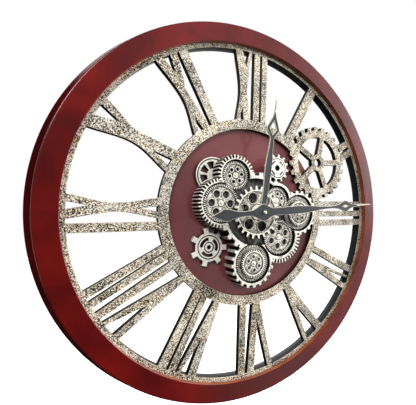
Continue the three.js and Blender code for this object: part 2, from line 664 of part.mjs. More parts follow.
add('drive_lid', solidOf(driveLid)
  .subtract(solidOf(box(SWITCH.x - 6, SWITCH.x + 6, 1, -5, SWITCH.z - 2.2, SWITCH.z + 2.2))), BLACK);
add('power_switch', union([
  box(SWITCH.x - 5.6, SWITCH.x + 1, -0.1, -1.6, SWITCH.z - 1.8, SWITCH.z + 1.8),
  box(SWITCH.x - 4.6, SWITCH.x, -1.6, -4.5, SWITCH.z - 1.4, SWITCH.z + 1.4),
]), CREAM);
add('battery_door', box(BOX.x0, BOX.x1, 0, LID_FRONT, BOX.zLow, BOX.zSplit - 0.15), BLACK);
const AAA = { r: 5.2, length: 44.5 };
add('drive_battery', cell(AAA.r, AAA.length, -4, -8.8, -89), CELL);

// ---------------------------------------------------------------- hands
// Outlines along the hand: [distance from the pivot, half width], mirrored across the hand.
function handShape(profile, angle) {
  const a = rad(angle);
  const place = ([u, v]) => [u * Math.cos(a) - v * Math.sin(a), u * Math.sin(a) + v * Math.cos(a)];
  const lower = profile.map(([u, v]) => place([u, -v]));
  const upper = profile.filter(([, v]) => v > 0).map(([u, v]) => place([u, v])).reverse();
  return { shape: polygon([...lower, ...upper]), place };
}
const minuteProfile = [[-117, 0], [-108, 1.2], [-96, 6.4], [-83, 11.4], [-66, 7.6], [-50, 5.4],
  [-33, 5.2], [-22, 7.2], [-12, 12.6], [-3, 16.4], [3, 16], [10, 12.2], [17, 8.6], [26, 7.6],
  [50, 8], [88, 8.2], [118, 6.6], [150, 3.6], [185, 3.1], [205, 6.2], [223, 13], [236, 7.6],
  [250, 3.2], [268, 2.4], [309, 0.7]];
const minute = handShape(minuteProfile, MINUTE_ANGLE);
cut(minute.shape, circle(SHAFT_R + GAP, 12));
const reliefPit = solidOf(slab(polygon([[208, 0], [223, -6], [238, 0], [223, 6]].map(minute.place)),
  MINUTE_FRONT + 0.8, MINUTE_FRONT - 5));
const reliefPeak = slab(polygon([[214, 0], [223, -2.6], [232, 0], [223, 2.6]].map(minute.place)),
  MINUTE_FRONT + 1.2, MINUTE_FRONT + 0.2);
add('minute_hand', union([solidOf(slab(minute.shape, MINUTE_BACK, MINUTE_FRONT)).subtract(reliefPit),
  reliefPeak]), HAND);

const hourProfile = [[-9, 6], [-5, 8.6], [0, 9.6], [6, 8.4], [14, 6.8], [40, 6], [80, 7.6],
  [105, 7.2], [125, 5.2], [140, 4.6], [150, 5], [168, 15], [181, 9.2], [198, 2.6], [227, 0.8]];
const hour = handShape(hourProfile, HOUR_ANGLE);
cut(hour.shape, circle(SHAFT_R + 0.5, 12));
cut(hour.shape, [[156, 0], [168, -8.2], [185, 0], [168, 8.2]].map(hour.place));
add('hour_hand', slab(hour.shape, HOUR_BACK, HOUR_FRONT), HAND);

const nutBack = MINUTE_FRONT - GAP;
const capNut = turned([[SHAFT_R + GAP, nutBack], [3.6, nutBack], [3.6, nutBack - 1.6],
  [2.6, nutBack - 2.8], [0, nutBack - 3.2], [0, nutBack - 2], [SHAFT_R + GAP, nutBack - 2],
  [SHAFT_R + GAP, nutBack]], 0, 0, 12);
add('hand_nut', capNut, BRASS);

export default group;
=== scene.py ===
"""Looks of a large skeleton wall clock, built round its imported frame.

Lengths are in millimetres in this script and become metres when a mesh is made. The dial faces -Y,
so an outline is a list of (x, z) points, counter-clockwise from the front, and a smaller y is
nearer to the room.
"""
import math

import bmesh
import bpy
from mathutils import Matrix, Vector
from mathutils.geometry import delaunay_2d_cdt, tessellate_polygon


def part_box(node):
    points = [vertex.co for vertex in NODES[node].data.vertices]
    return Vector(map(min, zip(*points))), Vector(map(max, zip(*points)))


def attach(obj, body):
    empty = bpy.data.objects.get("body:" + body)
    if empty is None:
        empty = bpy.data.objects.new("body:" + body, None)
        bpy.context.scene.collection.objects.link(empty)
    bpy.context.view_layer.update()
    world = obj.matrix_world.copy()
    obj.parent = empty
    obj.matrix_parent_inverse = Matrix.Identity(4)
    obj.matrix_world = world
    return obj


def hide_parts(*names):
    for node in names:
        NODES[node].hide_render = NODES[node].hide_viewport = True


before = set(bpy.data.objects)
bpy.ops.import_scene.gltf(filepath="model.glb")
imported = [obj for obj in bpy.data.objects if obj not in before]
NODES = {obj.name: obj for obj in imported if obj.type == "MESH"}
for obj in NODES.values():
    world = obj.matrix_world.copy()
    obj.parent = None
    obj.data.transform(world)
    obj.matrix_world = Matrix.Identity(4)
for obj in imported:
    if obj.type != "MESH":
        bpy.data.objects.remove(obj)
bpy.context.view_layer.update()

MM = 0.001
FLAT = 0.02                 # how far a corner may lie off a flat face
SAME = 0.01                 # corners closer than this are one corner
SLIVER = 0.002              # a cut leaves corners this close together
FRONTAL = -0.9              # a face whose normal has a lower y than this faces the room
STRAIGHT = 0.15             # degrees: an outline that turns less than this runs straight on
SPECK = 0.5                 # square mm: a loop smaller than this is left out
CREASE = 32.0               # degrees: an edge sharper than this isn't shaded smooth
SHADOW_GAP = 0.3            # between pieces that touch
PAST = 5.0                  # how far a cutter reaches past the surface it cuts
INSIDE_LOOPS = 1            # delaunay_2d_cdt's number for triangles inside the loops

# ---------------------------------------------------------------- outlines from the frame


def corner_key(co):
    """A corner's place in the dial plane, in steps of SAME."""
    return round(co.x / MM / SAME), round(co.z / MM / SAME)


def turn_at(loop, i):
    """Angle in degrees that the outline turns through at point i."""
    (ax, az), (bx, bz), (cx, cz) = loop[i - 1], loop[i], loop[(i + 1) % len(loop)]
    ux, uz, vx, vz = bx - ax, bz - az, cx - bx, cz - bz
    return math.degrees(math.atan2(ux * vz - uz * vx, ux * vx + uz * vz))


def area_of(loop):
    """Area of a loop, positive when it runs counter-clockwise."""
    return sum(loop[i - 1][0] * p[1] - p[0] * loop[i - 1][1] for i, p in enumerate(loop)) / 2


def flat_loops(node, depth=None):
    """Boundary loops of the front-facing flat face of a CAD node at `depth`, or at its very front."""
    mesh = NODES[node].data
    mesh.calc_loop_triangles()
    if depth is None:
        depth = min(v.co.y for v in mesh.vertices) / MM
    edges = set()
    for triangle in mesh.loop_triangles:
        corners = [mesh.vertices[i].co for i in triangle.vertices]
        if triangle.normal.y > FRONTAL or any(abs(c.y / MM - depth) > FLAT for c in corners):
            continue
        keys = [corner_key(c) for c in corners]
        for a, b in zip(keys, keys[1:] + keys[:1]):
            if (b, a) in edges:
                edges.remove((b, a))
            else:
                edges.add((a, b))
    following = {}
    for a, b in sorted(edges):
        following.setdefault(a, []).append(b)
    loops = []
    while following:
        start = next(iter(following))
        walk, at = [], start
        while at in following:
            walk.append((at[0] * SAME, at[1] * SAME))
            onward = following[at].pop()
            if not following[at]:
                del following[at]
            at = onward
        loops.append(walk)
    return [straightened(loop) for loop in loops if abs(area_of(loop)) > SPECK]


def straightened(loop):
    """The loop without the points that lie on a straight run, and counter-clockwise."""
    kept = [p for i, p in enumerate(loop) if abs(turn_at(loop, i)) > STRAIGHT]
    return kept if area_of(kept) > 0 else kept[::-1]


def softened(loop, corner=46.0, step=2.5, most=8, least_bend=0.01):
    """The loop with a smooth curve through every run of points that turns less than `corner`.

    A side that bends gets a point every `step` mm, up to `most` of them.
    """
    n = len(loop)
    sharp = [abs(turn_at(loop, i)) > corner for i in range(n)]
    out = []
    for i in range(n):
        p, q = Vector(loop[i]), Vector(loop[(i + 1) % n])
        before, after = Vector(loop[i - 1]), Vector(loop[(i + 2) % n])
        length = (q - p).length
        start = (q - p) if sharp[i] else (q - before).normalized() * length
        end = (q - p) if sharp[(i + 1) % n] else (after - p).normalized() * length
        bend = max(start.angle(q - p), end.angle(q - p))
        parts = 1 if bend < least_bend else max(1, min(most, round(length / step)))
        for k in range(parts):
            t = k / parts
            s = t * t * (3 - 2 * t)
            x = p * (1 - s) + q * s + start * (t * (1 - t) ** 2) - end * (t * t * (1 - t))
            out.append((x[0], x[1]))
    return out


def circle(x, z, r, n=72):
    return [(x + r * math.cos(2 * math.pi * i / n), z + r * math.sin(2 * math.pi * i / n))
            for i in range(n)]


def spun(points, degrees, x=0.0, z=0.0):
    """Points turned counter-clockwise about the origin and then moved by (x, z)."""
    c, s = math.cos(math.radians(degrees)), math.sin(math.radians(degrees))
    return [(x + u * c - v * s, z + u * s + v * c) for u, v in points]


def inset(loop, distance, least_spread=0.45):
    """The loop moved inwards by `distance` all round; a negative distance moves it outwards.

    `least_spread` keeps the point of a sharp corner from moving too far.
    """
    out, n = [], len(loop)
    for i in range(n):
        p = Vector(loop[i])
        u, v = p - Vector(loop[i - 1]), Vector(loop[(i + 1) % n]) - p
        u.normalize()
        v.normalize()
        side = Vector((-u[1] - v[1], u[0] + v[0]))
        spread = max(1 + u.dot(v), least_spread)
        out.append(tuple(p + side * (distance / spread)))
    return out


def middle(loop):
    return sum(p[0] for p in loop) / len(loop), sum(p[1] for p in loop) / len(loop)


def holds_point(loop, point):
    """Whether the point lies inside the loop."""
    inside, (x, z) = False, point
    for i, (bx, bz) in enumerate(loop):
        ax, az = loop[i - 1]
        if (az > z) != (bz > z) and x < (bx - ax) * (z - az) / (bz - az) + ax:
            inside = not inside
    return inside


# ---------------------------------------------------------------- places from the frame


def edges_of(node, axis):
    """Where a CAD node starts and ends along X, Y or Z (axis 0, 1 or 2)."""
    low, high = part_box(node)
    return low[axis] / MM, high[axis] / MM


def radius_of(node):
    low, high = edges_of(node, 0)
    return (high - low) / 2


def hub_of(node):
    """Where the axis of a CAD node passes through the dial plane."""
    low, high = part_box(node)
    return (low.x + high.x) / 2 / MM, (low.z + high.z) / 2 / MM


# ---------------------------------------------------------------- meshes

FRONT_EDGE, BACK_EDGE = 1, 2        # corners of a pin's profile


def finished(name, bm, body, materials, nodes):
    """Makes the object of a piece, gives it its materials, and says what it rides on and replaces."""
    bmesh.ops.remove_doubles(bm, verts=bm.verts, dist=1e-7)
    bmesh.ops.recalc_face_normals(bm, faces=bm.faces)
    mesh = bpy.data.meshes.new(name)
    bm.to_mesh(mesh)
    bm.free()
    mesh.shade_smooth()
    mesh.set_sharp_from_angle(angle=math.radians(CREASE))
    piece = bpy.data.objects.new(name, mesh)
    bpy.context.scene.collection.objects.link(piece)
    for material in materials:
        mesh.materials.append(material)
    flat = piece.modifiers.new("flat faces", "WEIGHTED_NORMAL")
    flat.keep_sharp = True
    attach(piece, body)
    if nodes:
        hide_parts(*nodes)
    return piece


class Layers:
    """A flat piece with a front in several depths.

    Each layer is (loop, depth inside it, material index), and a depth of None is a hole right
    through. Layers nest by which loop holds which. Edges are rounded to the radius `edge`, in
    `steps` steps. A vertex attribute of wear and painted highlight is 1 on the outward corners of
    a wall, where paint rubs off and a ridge carries a painted highlight, and 0 in its inward corners.
    """

    def __init__(self, layers, back, edge, steps=3):
        self.bm = bmesh.new()
        self.wear_and_sheen = self.bm.verts.layers.float.new("wear_and_sheen")
        self.back, self.edge, self.steps = back, edge, steps
        self.back_holes = []
        order = sorted(layers, key=lambda layer: -abs(area_of(layer[0])))
        self.tree = [{"loop": loop, "y": y, "mat": mat, "inner": []} for loop, y, mat in order]
        for i, tier in enumerate(self.tree[1:], 1):
            probe = tier["loop"][0]
            holder = [t for t in self.tree[:i] if holds_point(t["loop"], probe)][-1]
            holder["inner"].append(tier)
        outer = self.tree[0]
        top = self.shoulder(outer["loop"], self.back, outer["y"], outer["mat"], 1)
        self.face(outer, top[-1])
        self.fill(top[0], self.back_holes, outer["mat"])

    def ring(self, loop, y, wear_and_sheen):
        """The vertices of a loop at depth y."""
        made = [self.bm.verts.new((x * MM, y * MM, z * MM)) for x, z in loop]
        for vertex, share in zip(made, wear_and_sheen):
            vertex[self.wear_and_sheen] = share
        return made

    def wall(self, low, high, mat):
        """Faces between two rings."""
        for i in range(len(low)):
            face = self.bm.faces.new((low[i - 1], low[i], high[i], high[i - 1]))
            face.material_index = mat

    def fill(self, outer, holes, mat):
        """A flat face between the ring `outer` and the rings in `holes`.

        Where a strip is narrower than its two rounded edges, its hole is wider than its outer
        ring. So the face is what lies in one of them and not in both.
        """
        rings = [outer, *holes]
        flat = [v for r in rings for v in r]
        points = [Vector((v.co.x / MM, v.co.z / MM)) for v in flat]
        loops = []
        for r in rings:
            start = sum(len(loop) for loop in loops)
            loops.append(list(range(start, start + len(r))))
        wound = [loop if area_of([points[i] for i in loop]) > 0 else loop[::-1] for loop in loops]
        made, _, found, origins, _, owners = delaunay_2d_cdt(points, [], wound, INSIDE_LOOPS, 1e-5)
        if len(made) == len(points):
            triangles = [[origins[i][0] for i in corners] for corners, held in zip(found, owners)
                         if (0 in held) != any(held)]
        else:                               # a point was added where two loops cross
            triangles = tessellate_polygon([[points[i].to_3d() for i in loop] for loop in loops])
        for corners in triangles:
            if len(set(corners)) == 3:
                self.bm.faces.new([flat[i] for i in corners]).material_index = mat

    def shoulder(self, loop, y_low, y_top, mat, inward):
        """Rings up a wall from y_low and over a rounded edge to y_top, the lowest first."""
        radius = min(self.edge, 0.45 * abs(y_low - y_top))
        # Outward corners get the rubbed paint and painted highlight of a ridge; inward corners stay
        # dark.
        wear_and_sheen = [min(1, max(0, 0.4 + inward * turn_at(loop, i) / 90)) for i in range(len(loop))]
        rings = [self.ring(loop, y_low, wear_and_sheen)]
        for k in range(self.steps + 1):
            a = math.pi / 2 * k / self.steps
            moved = inset(loop, inward * radius * (1 - math.cos(a))) if k else loop
            rings.append(self.ring(moved, y_top + radius * (1 - math.sin(a)), wear_and_sheen))
        for low, high in zip(rings, rings[1:]):
            self.wall(low, high, mat)
        return rings

    def face(self, tier, boundary):
        """The front of a layer inside its boundary ring, with the layers that it holds."""
        holes = []
        for child in tier["inner"]:
            deep = self.back if child["y"] is None else child["y"]
            if deep > tier["y"]:
                rings = self.shoulder(child["loop"], deep, tier["y"], child["mat"], -1)
                holes.append(rings[-1])
                if child["y"] is None:
                    self.back_holes.append(rings[0])
                else:
                    self.face(child, rings[0])
            else:
                rings = self.shoulder(child["loop"], tier["y"], deep, child["mat"], 1)
                holes.append(rings[0])
                self.face(child, rings[-1])
        self.fill(boundary, holes, tier["mat"])


def piece_from(name, layers, back, edge, body, materials, nodes, steps=3):
    """A piece made of layers, with its back at y = `back` and its edges rounded to `edge`."""
    bm = Layers(layers, back, edge, steps).bm
    return finished(name, bm, body, materials, nodes)


def node_layers(node, front=None):
    """Layers read from the front of a CAD node: its outline, its holes and the islands in them."""
    loops = [softened(loop) for loop in flat_loops(node, front)]
    if front is None:
        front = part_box(node)[0].y / MM
    loops.sort(key=lambda loop: -area_of(loop))
    layers = []
    for i, loop in enumerate(loops):
        holders = sum(holds_point(other, loop[0]) for other in loops[:i])
        layers.append((loop, None if holders % 2 else front, 0))
    return layers


def turned(profile, x=0.0, z=0.0, n=48):
    """A turned body on an axis along Y from a closed profile of (radius, y)."""
    bm = bmesh.new()
    rings = []
    for r, y in profile:
        if r < 1e-6:
            rings.append([bm.verts.new((x * MM, y * MM, z * MM))] * n)
        else:
            rings.append([bm.verts.new((px * MM, y * MM, pz * MM)) for px, pz in circle(x, z, r, n)])
    for low, high in zip(rings, rings[1:] + rings[:1]):
        for i in range(n):
            corners = list(dict.fromkeys((low[i - 1], low[i], high[i], high[i - 1])))
            if len(corners) > 2:
                bm.faces.new(corners)
    return bm


def rounded(profile, corners, steps=4):
    """The profile with an arc in place of each corner that `corners` gives a radius: {index: r}."""
    out = []
    for i, p in enumerate(profile):
        if i not in corners:
            out.append(p)
            continue
        at = Vector(p)
        u = (Vector(profile[i - 1]) - at).normalized()
        v = (Vector(profile[(i + 1) % len(profile)]) - at).normalized()
        r = corners[i]
        reach = r / math.tan(u.angle(v) / 2)
        a, b = at + u * reach, at + v * reach
        for k in range(steps + 1):
            t = k / steps
            q = a * (1 - t) ** 2 + at * (2 * t * (1 - t)) + b * t * t
            out.append((q[0], q[1]))
    return out


def pin_profile(r, front, back, corner, rounding, steps=4):
    """The profile of a round pin with one rounded edge, FRONT_EDGE or BACK_EDGE."""
    return rounded([(0, front), (r, front), (r, back), (0, back)], {corner: rounding}, steps)


def carved(piece, cutter_bm):
    """Takes the closed mesh `cutter_bm` out of a piece."""
    mesh = bpy.data.meshes.new("cutter")
    bmesh.ops.recalc_face_normals(cutter_bm, faces=cutter_bm.faces)
    cutter_bm.to_mesh(mesh)
    cutter_bm.free()
    cutter = bpy.data.objects.new("cutter", mesh)
    bpy.context.scene.collection.objects.link(cutter)
    modifier = piece.modifiers.new("carve", "BOOLEAN")
    modifier.operation = "DIFFERENCE"
    modifier.solver = "EXACT"
    modifier.object = cutter
    bpy.context.view_layer.update()
    graph = bpy.context.evaluated_depsgraph_get()
    result = bpy.data.meshes.new_from_object(piece.evaluated_get(graph))
    piece.modifiers.remove(modifier)
    bm = bmesh.new()
    bm.from_mesh(result)
    bmesh.ops.remove_doubles(bm, verts=bm.verts, dist=SLIVER * MM)
    bmesh.ops.dissolve_degenerate(bm, dist=SLIVER * MM, edges=bm.edges)
    bm.to_mesh(result)
    bm.free()
    piece.data = result
    bpy.data.objects.remove(cutter)


def block(x0, x1, y0, y1, z0, z1):
    """A box between these places."""
    bm = bmesh.new()
    bmesh.ops.create_cube(bm, size=1)
    for v in bm.verts:
        v.co = Vector((x1 if v.co.x > 0 else x0, y1 if v.co.y > 0 else y0,
                       z1 if v.co.z > 0 else z0)) * MM
    return bm


# ---------------------------------------------------------------- materials


class Shade:
    """A node material on the Principled shader, in object coordinates."""

    def __init__(self, name, colour, **constants):
        self.material = bpy.data.materials.new(name)
        self.material.use_nodes = True
        self.tree = self.material.node_tree
        self.shader = self.tree.nodes["Principled BSDF"]
        self.shader.inputs["Base Color"].default_value = (*colour, 1)
        for socket, value in constants.items():
            self.shader.inputs[socket.replace("_", " ")].default_value = value
        self.place = self.node("ShaderNodeTexCoord").outputs["Object"]

    def node(self, kind, **settings):
        """A new node, with its settings."""
        made = self.tree.nodes.new(kind)
        for key, value in settings.items():
            setattr(made, key, value)
        return made

    def feed(self, socket, value):
        """Links a socket to another, or gives it a number or a colour."""
        if isinstance(value, bpy.types.NodeSocket):
            self.tree.links.new(value, socket)
        elif isinstance(value, (tuple, list)) and len(value) == 3 and socket.type == "RGBA":
            socket.default_value = (*value, 1)
        else:
            socket.default_value = value

    def noise(self, size, detail=3.0, rough=0.6, place=None, warp=0.0):
        """Noise whose features are about `size` mm across."""
        made = self.node("ShaderNodeTexNoise")
        self.feed(made.inputs["Vector"], place or self.place)
        made.inputs["Scale"].default_value = 1 / (size * MM)
        made.inputs["Detail"].default_value = detail
        made.inputs["Roughness"].default_value = rough
        made.inputs["Distortion"].default_value = warp
        return made.outputs["Fac"]

    def stretched(self, along, across, thick, turn=0.0):
        """Object coordinates in which noise of size 1 mm is this many mm long, wide and deep.

        The length runs along X: `turn` shifts the noise, in degrees, and leaves the length as it
        is. The materials use lengths below 0.1 mm, which show as an even tone from any distance.
        """
        made = self.node("ShaderNodeMapping")
        self.feed(made.inputs["Vector"], self.place)
        made.inputs["Scale"].default_value = (1 / along, 1 / thick, 1 / across)
        made.inputs["Rotation"].default_value = (0, math.radians(turn), 0)
        return made.outputs["Vector"]

    def sums(self, operation, a, b):
        """An operation, such as ADD, on two values."""
        made = self.node("ShaderNodeMath", operation=operation)
        self.feed(made.inputs[0], a)
        self.feed(made.inputs[1], b)
        return made.outputs[0]

    def blend(self, *terms):
        """The sum of (value, weight) pairs."""
        weighted = [self.sums("MULTIPLY", value, weight) for value, weight in terms]
        total = weighted[0]
        for term in weighted[1:]:
            total = self.sums("ADD", total, term)
        return total

    def band(self, value, low, high):
        """0 below `low`, 1 above `high`."""
        made = self.node("ShaderNodeMapRange", interpolation_type="SMOOTHSTEP")
        self.feed(made.inputs["Value"], value)
        made.inputs["From Min"].default_value = low
        made.inputs["From Max"].default_value = high
        return made.outputs["Result"]

    def ramp(self, value, *stops):
        """A colour for each value, from stops of (position, colour)."""
        made = self.node("ShaderNodeValToRGB")
        self.feed(made.inputs["Fac"], value)
        elements = made.color_ramp.elements
        while len(elements) < len(stops):
            elements.new(0.5)
        for element, (position, colour) in zip(elements, stops):
            element.position = position
            element.color = (*colour, 1)
        return made.outputs["Color"]

    def mix(self, share, a, b, blend="MIX"):
        made = self.node("ShaderNodeMix", data_type="RGBA", blend_type=blend)
        self.feed(made.inputs[0], share)
        self.feed(made.inputs[6], a)
        self.feed(made.inputs[7], b)
        return made.outputs[2]

    def facing(self, low=0.3, high=0.75):
        """1 where the surface faces the room, 0 on walls and backs."""
        normal = self.node("ShaderNodeNewGeometry").outputs["Normal"]
        parts = self.node("ShaderNodeSeparateXYZ")
        self.feed(parts.inputs[0], normal)
        return self.band(self.sums("MULTIPLY", parts.outputs["Y"], -1.0), low, high)

    def colour(self, value):
        self.feed(self.shader.inputs["Base Color"], value)

    def rough(self, value, low, high):
        """Roughness from `low` to `high` as the value goes from 0 to 1."""
        made = self.node("ShaderNodeMapRange")
        self.feed(made.inputs["Value"], value)
        made.inputs["To Min"].default_value = low
        made.inputs["To Max"].default_value = high
        self.feed(self.shader.inputs["Roughness"], made.outputs["Result"])

    def bump(self, height, tall, strength):
        """Raises the surface by up to `tall` mm."""
        made = self.node("ShaderNodeBump")
        made.inputs["Strength"].default_value = strength
        made.inputs["Distance"].default_value = tall * MM
        self.feed(made.inputs["Height"], height)
        self.feed(self.shader.inputs["Normal"], made.outputs["Normal"])


GRAIN_TURN = 62             # degrees that the wood's noise is shifted; its grain runs along X


def lacquered_wood(name="lacquered_wood", gloss=0.75, specular=0.05, painted_shade_scale=1.0):
    """Mottled red-brown lacquer over very fine grain; its last argument scales its colours down, for a
    copy in painted shade.
    """
    made = Shade(name, (0.12, 0.004, 0.003), Coat_Weight=gloss, Coat_Roughness=0.2,
                 Specular_IOR_Level=specular)
    grain = made.noise(1.0, 6, 0.72, made.stretched(0.07, 0.006, 0.02, GRAIN_TURN), 0.25)
    cloud = made.noise(90, 3, 0.55, warp=0.4)
    blotch = made.noise(1.0, 5, 0.65, made.stretched(0.05, 0.022, 0.04, GRAIN_TURN), 0.8)
    tone = made.blend((grain, 0.36), (cloud, 0.36), (blotch, 0.38))
    stops = ((0.38, (0.018, 0.0007, 0.0008)), (0.48, (0.056, 0.0012, 0.0013)),
             (0.57, (0.105, 0.0022, 0.0018)), (0.68, (0.190, 0.0060, 0.0028)))
    made.colour(made.ramp(tone, *((at, tuple(v * painted_shade_scale for v in colour)) for at, colour in stops)))
    scuff = made.noise(3.5, 5, 0.7)
    made.rough(made.blend((scuff, 0.6), (cloud, 0.4)), 0.35, 0.6)
    made.bump(made.blend((grain, 1.0), (scuff, 0.3)), 0.12, 0.4)
    return made.material


def stained_edge():
    """The turned inner wall of the rim: thin stain over very fine layers that run round it."""
    made = Shade("stained_edge", (0.25, 0.07, 0.02), Coat_Weight=0.25, Coat_Roughness=0.35,
                 Specular_IOR_Level=0.2)
    layers = made.noise(1.0, 4, 0.6, made.stretched(0.03, 0.03, 0.0012), 0.1)
    cloud = made.noise(25, 3, 0.6)
    tone = made.blend((layers, 0.7), (cloud, 0.35))
    made.colour(made.ramp(tone, (0.36, (0.06, 0.008, 0.004)), (0.5, (0.20, 0.036, 0.010)),
                          (0.66, (0.38, 0.11, 0.035))))
    made.rough(cloud, 0.35, 0.6)
    made.bump(layers, 0.3, 0.6)
    return made.material


def speckled_cream():
    """Cream paint under dense dark speckle on the faces, black paint on the cut edges."""
    made = Shade("speckled_cream", (0.6, 0.5, 0.38), Specular_IOR_Level=0.15)
    fine = made.noise(2.2, 3, 0.68)
    coarse = made.noise(7, 3, 0.6)
    patch = made.noise(60, 3, 0.6, warp=0.6)
    tone = made.blend((fine, 0.85), (coarse, 0.15), (made.sums("SUBTRACT", patch, 0.5), 0.22))
    black = (0.006, 0.006, 0.007)
    paint = made.ramp(tone, (0.42, black), (0.455, (0.035, 0.033, 0.031)),
                      (0.48, (0.19, 0.16, 0.11)), (0.515, (0.50, 0.43, 0.32)),
                      (0.58, (0.88, 0.83, 0.71)))
    warm = made.band(made.noise(9, 4, 0.65), 0.52, 0.66)
    paint = made.mix(made.sums("MULTIPLY", warm, 0.75), paint, (0.90, 0.68, 0.42), "MULTIPLY")
    cool = made.band(made.noise(75, 3, 0.55, warp=0.5), 0.47, 0.6)
    paint = made.mix(made.sums("MULTIPLY", cool, 0.8), paint, (0.78, 0.82, 0.88), "MULTIPLY")
    # Rounded edges turn golden in patches: partly rubbed paint, partly a painted highlight on the
    # bevel.
    rounding = made.sums("SUBTRACT", 1.0, made.facing(0.86, 0.97))
    rub_and_painted_light = made.sums("MULTIPLY", rounding, made.band(coarse, 0.38, 0.5))
    paint = made.mix(rub_and_painted_light, paint, (0.72, 0.58, 0.38))
    made.colour(made.mix(made.facing(), black, paint))
    made.rough(fine, 0.45, 0.85)
    made.bump(tone, 0.5, 0.7)
    return made.material


def satin_burgundy():
    """Dark red paint with a soft sheen."""
    made = Shade("satin_burgundy", (0.09, 0.009, 0.011), Specular_IOR_Level=0.1, Coat_Weight=1.0,
                 Coat_Roughness=0.16)
    cloud = made.noise(120, 3, 0.5, warp=0.3)
    grit = made.noise(0.9, 3, 0.6)
    made.colour(made.ramp(cloud, (0.35, (0.135, 0.027, 0.029)), (0.65, (0.172, 0.036, 0.038))))
    made.rough(cloud, 0.45, 0.6)
    made.bump(grit, 0.03, 0.3)
    return made.material


def antique_silver(name="antique_silver", wash=0.0, painted_wall_shade=0.0):
    """Pale silver rubbed over black: bright faces, black walls whose ridges are worn and carry a
    painted highlight, grime and painted shade in hollows.

    `wash` darkens the faces, and a negative one makes them paler. The third argument darkens the
    walls as painted shade, and a negative one makes them paler as painted light.
    """
    made = Shade(name, (0.7, 0.66, 0.56), Metallic=0.3)
    grime = made.noise(7, 5, 0.68, warp=0.3)
    fine = made.noise(1.6, 4, 0.65)
    tone = made.blend((grime, 0.6), (fine, 0.4))
    # Hollows darken by ambient occlusion: grime, and painted shade where parts close in.
    shade = made.node("ShaderNodeAmbientOcclusion", samples=6, only_local=True)
    shade.inputs["Distance"].default_value = 3.5 * MM
    hollow_grime_and_shade = made.sums("MULTIPLY", made.sums("SUBTRACT", 1.0, shade.outputs["AO"]), 0.42)
    specks = made.sums("MULTIPLY", made.band(made.noise(2.8, 4, 0.7), 0.56, 0.66), 0.2)
    tone = made.sums("SUBTRACT", made.sums("SUBTRACT", tone, specks), wash)
    tone = made.sums("SUBTRACT", tone, hollow_grime_and_shade)
    paint = made.ramp(tone, (0.26, (0.005, 0.005, 0.005)), (0.34, (0.060, 0.057, 0.050)),
                      (0.41, (0.42, 0.40, 0.345)), (0.50, (0.90, 0.865, 0.765)))
    wear_and_sheen = made.node("ShaderNodeAttribute", attribute_name="wear_and_sheen").outputs["Fac"]
    # The walls brighten at outward corners: rubbed paint and a painted highlight along the ridges.
    rub_and_painted_light = made.sums("ADD", wear_and_sheen, made.sums("MULTIPLY", made.sums("SUBTRACT", fine, 0.5), 0.9))
    # A positive third argument darkens the walls as painted shade, a negative one lightens them as
    # painted light.
    rub_and_painted_light = made.sums("SUBTRACT", rub_and_painted_light, painted_wall_shade)
    walls = made.ramp(rub_and_painted_light, (0.66, (0.005, 0.005, 0.006)), (0.84, (0.10, 0.096, 0.09)),
                      (1.0, (0.60, 0.58, 0.52)))
    made.colour(made.mix(made.facing(0.35, 0.8), walls, paint))
    made.rough(fine, 0.3, 0.6)
    made.bump(tone, 0.25, 0.6)
    return made.material


def slate(name, dark, light, size, near=2.0):
    """Matt slate paint with painted shade: it darkens within `near` mm of a neighbour."""
    made = Shade(name, dark, Specular_IOR_Level=0.25)
    cloud = made.noise(size, 4, 0.6)
    grit = made.noise(0.8, 3, 0.6)
    open_air_for_painted_shade = made.node("ShaderNodeAmbientOcclusion", samples=6).outputs["AO"]
    open_air_for_painted_shade.node.inputs["Distance"].default_value = near * MM
    paint = made.ramp(cloud, (0.35, dark), (0.68, light))
    # Painted shade: near-black where a neighbour is close.
    made.colour(made.mix(made.band(open_air_for_painted_shade, 0.25, 0.95), (0.003, 0.003, 0.003), paint))
    made.rough(grit, 0.38, 0.58)
    made.bump(grit, 0.08, 0.6)
    return made.material


def worn_metal(name, low, high, metallic=1.0, dull=0.5):
    """Metal with cloudy tarnish from colour `low` to `high` and very fine lines along X."""
    made = Shade(name, high, Metallic=metallic)
    cloud = made.noise(4, 4, 0.65)
    lines = made.noise(1.0, 3, 0.6, made.stretched(0.02, 0.0007, 0.02))
    made.colour(made.ramp(cloud, (0.32, low), (0.62, high)))
    made.rough(made.blend((cloud, 0.5), (lines, 0.5)), 0.2, dull)
    made.bump(lines, 0.04, 0.5)
    return made.material


def moulded(name, dark, light, grain=0.7, low=0.38, high=0.6, shine=0.5):
    """Moulded plastic or matt paint with a fine eggshell texture."""
    made = Shade(name, dark, Specular_IOR_Level=shine)
    grit = made.noise(grain, 2, 0.5)
    cloud = made.noise(18, 4, 0.6)
    made.colour(made.ramp(cloud, (0.35, dark), (0.7, light)))
    made.rough(made.blend((grit, 0.4), (cloud, 0.6)), low, high)
    made.bump(grit, 0.07, 0.7)
    return made.material


WOOD = lacquered_wood()
# The rim's outer side gets a darker copy of the lacquer: painted shade for the side turned away from
# the light.
SHADED_SIDE = lacquered_wood("wood_side_painted_shade", 0.1, 0.0, 0.5)
INNER = stained_edge()
CAST = speckled_cream()
BURGUNDY = satin_burgundy()
SILVER = antique_silver()
# The darker walls of teeth and webs are painted shade in the gaps between them; the paler hole walls
# are painted light on them.
TEETH = antique_silver("antique_teeth", -0.03, 0.5)
WEB = antique_silver("antique_web", 0.06, 0.5)
CREAM = antique_silver("antique_cream", -0.05)
WASH = antique_silver("antique_wash", 0.2)
INSIDE_PAINTED_LIGHT = antique_silver("antique_inside_painted_light", 0.0, -0.85)
